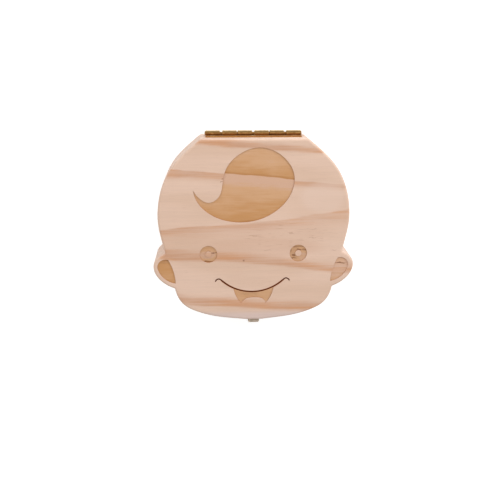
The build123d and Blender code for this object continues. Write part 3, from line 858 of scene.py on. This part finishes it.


# The screws' bright colours are a painted highlight for the glints on their heads.
screw_brass = metal("screw brass", paint(250, 226, 184), paint(222, 190, 144),
                    roughest=0.38, smoothest=0.26, crevice_darkness=0.25)
nickel = metal("dull nickel", paint(173, 158, 142), paint(150, 136, 121),
               roughest=0.42, smoothest=0.28, crevice_darkness=0.8)
dress(screw_brass, "hinge_screws_base", "hinge_screws_lid")
dress(nickel, "latch_plate", "latch_flap", "latch_pin", "latch_catch", "latch_plate_nails",
      "latch_catch_nails")
print("metals:", screw_brass.name, "and", nickel.name)

# %% [markdown]
# ## The hinge
# The hinge is stamped brass that has been handled. Its leaves are a warm gold, mottled with brown. The
# barrel is painted darker than the leaves, with a darker band near its crown, as a painted reflection of
# dark surroundings, and a pale painted highlight runs along the top of the knuckles. Red-brown painted
# shade sits in the gaps around the base's knuckles and rises up the lid's leaf behind them. Each could be a
# material of its own, but then hard borders would show. One material reads how far a point is from the
# barrel's crown and blends them.

# %% Brass of the leaves
# Gold, brown and dark brass paint the barrel's reflection bands; the highlight brass is a painted
# highlight.
gold_brass = paint(174, 134, 84)
brown_brass = paint(136, 96, 54)
painted_dark_brass = paint(112, 84, 48)
highlight_brass = paint(208, 182, 134)
leaf_gold = paint(182, 134, 78)
leaf_brown = paint(166, 114, 62)
gap_shade_red = paint(92, 22, 2)

leaf_mottle_grain, leaf_swing = (2.4 * mm, 0.9 * mm, 0.9 * mm), (0.32, 0.68)
speck_grain, speck_tones = (1.0 * mm, 0.5 * mm, 0.5 * mm), (0.86, 1.14)
barrel_start, barrel_end = 2.4 * mm, 1.9 * mm
shoulder_start, shoulder_end = 1.25 * mm, 0.95 * mm
highlight_start, highlight_end = 0.75 * mm, 0.15 * mm
highlight_swing, highlight_least = (0.3, 0.6), 0.6
leaf_roughest, leaf_smoothest = 0.44, 0.28
print("the barrel's own brass begins", round(barrel_end / mm, 1), "mm from its crown")

# %% Painted shade in the hinge's gaps
knuckle_count = 6
# How strong the painted shade is around the base's knuckles and elsewhere, and how far up the leaf it
# rises.
gap_shade_most, gap_shade_elsewhere = 0.95, 0.05
shade_rise_start, shade_rise_end, shade_rise_share = 3.4 * mm, 5.2 * mm, 0.8
shade_rise_waver = 2.4 * mm


def gap_shade(made, mottle, barrel, low, high, shade_rises):
    """How strong the painted shade is: in the gaps around the base's knuckles, and rising up the lid's leaf
    behind them.
    """
    # From the left, the first of every two knuckles is the base's.
    two_knuckles = (high.x - low.x) / knuckle_count * 2
    way = made.calc("FRACT", made.calc("DIVIDE", made.calc("SUBTRACT", made.x, low.x), two_knuckles))
    over_base = made.calc("LESS_THAN", way, 0.5)
    # Painted shade in the crevices between the hinge's parts and the wood.
    corners = made.crevice(crevice_reach, own_shade=False)
    shade_share = made.smooth(corners, crevice_start, crevice_end, 0.0, gap_shade_most)
    places = made.calc("MULTIPLY_ADD", over_base, gap_shade_most, gap_shade_elsewhere)
    shade_share = made.calc("MULTIPLY", shade_share, places)
    # Painted shade rising up the lid's leaf above the base's knuckles, where the gap behind them lies in
    # shadow.
    if shade_rises:
        near = made.calc("MULTIPLY_ADD", mottle, shade_rise_waver, made.z)
        shade_rise = made.smooth(near, low.z + shade_rise_start, low.z + shade_rise_end, shade_rise_share, 0.0)
        behind = made.calc("MULTIPLY", shade_rise, made.calc("SUBTRACT", 1.0, barrel))
        shade_share = made.calc("MAXIMUM", shade_share, made.calc("MULTIPLY", behind, over_base))
    return shade_share


print("grease seeps up to", round(shade_rise_end / mm, 1), "mm above the barrel's lowest line")

# %% Dress the hinge


def hinge_brass(name, shade_rises):
    """Brass of a hinge leaf and its knuckles, with painted reflection bands, a painted highlight and
    painted shade.
    """
    made = Finish(name)
    low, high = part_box("hinge_leaf_lid")
    mottle = made.noise(leaf_mottle_grain, 3.0)
    patch = made.smooth(mottle, *leaf_swing)
    # The barrel is painted darker than the leaf, and a band near its crown darker still: a painted
    # reflection.
    barrel = made.smooth(made.y, high.y - barrel_start, high.y - barrel_end)
    sheet = made.mix(patch, leaf_brown, leaf_gold)
    colour = made.mix(barrel, sheet, made.mix(patch, brown_brass, gold_brass))
    shoulder = made.smooth(made.y, high.y - shoulder_start, high.y - shoulder_end)
    colour = made.mix(shoulder, colour, painted_dark_brass)
    specks = made.smooth(made.noise(speck_grain, 2.0), *firm_swing, *speck_tones)
    colour = made.mix(1.0, colour, specks, "MULTIPLY")
    # A pale painted highlight along the crown of the knuckles.
    painted_highlight = made.calc("MULTIPLY", made.smooth(made.y, high.y - highlight_start, high.y - highlight_end),
                       made.smooth(mottle, *highlight_swing, highlight_least, 1.0))
    colour = made.mix(painted_highlight, colour, highlight_brass)
    # Painted shade: dark red-brown in the gaps around the base's knuckles.
    colour = made.mix(gap_shade(made, mottle, barrel, low, high, shade_rises), colour, gap_shade_red)
    return metal_surface(made, colour, mottle, leaf_roughest, leaf_smoothest)


base_brass = hinge_brass("brass of the base's leaf", shade_rises=False)
lid_brass = hinge_brass("brass of the lid's leaf", shade_rises=True)
dress(base_brass, "hinge_leaf_base", "hinge_pin")
dress(lid_brass, "hinge_leaf_lid")
print("hinge:", base_brass.name, "and", lid_brass.name)

# %% [markdown]
# ## Numbers beside the wells
# Inside, each tooth has its own well, and a plain number burnt beside it says which tooth it is for. On
# the real box they are laser marks, hardly deeper than a pencil line. Text objects are the quick way to
# draw figures. Each one is made a mesh, laid flat, moved to its place, and joined with the rest of its
# jaw, so that a jaw's numbers are one piece.

# %% Ink and places of the numbers
teeth_per_jaw = 10
arch_half_sizes = (45.5 * mm, 42.5 * mm)
arch_end = radians(15)
number_share = 0.79
number_height = 3.6 * mm
number_sink = 0.05 * mm
number_proud = 0.02 * mm
soot_grain = (0.8 * mm, 0.5 * mm, 0.5 * mm)
soot_brown, soot_tan = paint(96, 58, 34), paint(138, 92, 58)
soot_roughness, soot_specular = (0.7, 0.85), 0.2

number_ink = Finish("burnt figures")
soot = number_ink.noise(soot_grain, 2.0)
ink_colour = number_ink.mix(number_ink.smooth(soot, *firm_swing), soot_brown, soot_tan)
ink_roughness = number_ink.smooth(soot, *firm_swing, *soot_roughness)
number_ink.finish(ink_colour, ink_roughness, Specular_IOR_Level=soot_specular)


def number_place(jaw, tooth):
    """Where a tooth's number goes, on a smaller arch inside the arch of wells."""
    angle = pi - arch_end - tooth * (pi - 2 * arch_end) / (teeth_per_jaw - 1) - jaw * pi
    half_x, half_y = [number_share * half for half in arch_half_sizes]
    return Vector((half_x * cos(angle), half_y * sin(angle), base_top + number_proud))


print("the first number is at", [round(length / mm, 1) for length in number_place(0, 0)], "mm")

# %% Burn the numbers


def burnt_number(text, place):
    """One number as a thin flat mesh, a little of it above the wood."""
    bpy.ops.object.select_all(action="DESELECT")
    bpy.ops.object.text_add()
    figure = bpy.context.object
    figure.data.body = text
    figure.data.size = number_height
    figure.data.align_x = "CENTER"
    figure.data.align_y = "CENTER"
    figure.data.extrude = (number_sink + number_proud) / 2
    bpy.ops.object.convert(target="MESH")
    bpy.ops.transform.translate(value=place - Vector((0, 0, (number_sink + number_proud) / 2)))
    bpy.ops.object.transform_apply(location=True)
    return figure


for jaw, name in enumerate(("upper_numbers", "lower_numbers")):
    figures = [burnt_number(str(jaw * teeth_per_jaw + tooth + 1), number_place(jaw, tooth))
               for tooth in range(teeth_per_jaw)]
    for figure in figures:
        figure.select_set(True)
    bpy.context.view_layer.objects.active = figures[0]
    bpy.ops.object.join()
    numbers = bpy.context.object
    numbers.name = name
    numbers.data.materials.clear()
    numbers.data.materials.append(number_ink.material)
    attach(numbers, "base")
    print(name, len(numbers.data.polygons), "faces")

# %% [markdown]
# ## Measure the size
# The finish must not change how big the box is. The box of the solid model and the box of the dressed one
# are compared, and how far the dressed box has grown is printed.

# %% Measure the growth
dressed_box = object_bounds()
growth = [round(max(abs(a - b) for a, b in zip(*pair)) / mm, 3) for pair in zip(solid_box, dressed_box)]
print("grown by", growth, "mm")
